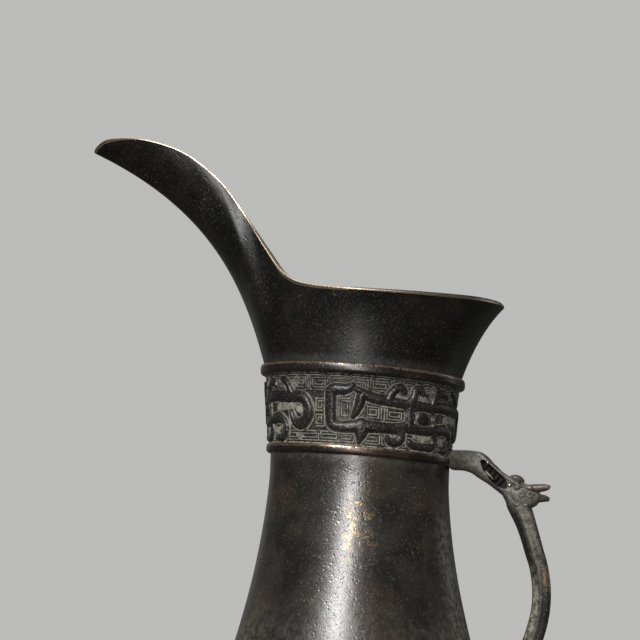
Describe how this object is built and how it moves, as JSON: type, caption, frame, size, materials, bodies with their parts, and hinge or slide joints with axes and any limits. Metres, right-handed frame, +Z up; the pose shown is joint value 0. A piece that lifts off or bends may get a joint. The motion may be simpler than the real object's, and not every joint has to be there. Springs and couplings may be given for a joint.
{
  "type": "three-legged wine cup",
  "caption": "Free-standing bronze pouring vessel: pear-shaped bowl on ridged legs, relief neck band, flared collar with upswept spout, and a beast-head strap handle.",
  "frame": {"origin": "middle of the whole vessel's footprint box, on the surface that the feet stand on", "axes": "+Z up along the bowl's axis, -X towards the spout's tip, +X towards the handle, +Y to the right of someone pouring"},
  "size_m": [0.1626, 0.094, 0.2823],
  "materials": {
    "patinated_bronze": "dark brown patina, semi-gloss, worn bright along the lip and ridges",
    "relief_bronze": "dark patina with pale dust in the recesses and rubbed high relief",
    "handle_bronze": "matt grey-brown with a coppery rubbed patch on the outside of the bow",
    "rivet_copper": "hammered and toned down",
    "fired_clay": "dry, gritty casting core"
  },
  "bodies": {
    "root": {"body_shell": "patinated_bronze", "base_plate": "patinated_bronze", "lower_bowstring_ring": "patinated_bronze", "upper_bowstring_ring": "patinated_bronze", "neck_band": "relief_bronze", "collar_and_spout": "patinated_bronze", "leg_back": "patinated_bronze", "leg_front_right": "patinated_bronze", "leg_front_left": "patinated_bronze", "leg_core_back": "fired_clay", "leg_core_front_right": "fired_clay", "leg_core_front_left": "fired_clay", "leg_rivet_back": "rivet_copper", "leg_rivet_front_right": "rivet_copper", "leg_rivet_front_left": "rivet_copper", "handle_strap": "handle_bronze", "handle_foot_rivet": "rivet_copper", "beast_head": "handle_bronze", "neck_bracket": "handle_bronze", "horn_right": "handle_bronze", "horn_left": "handle_bronze"}
  },
  "joints": []
}
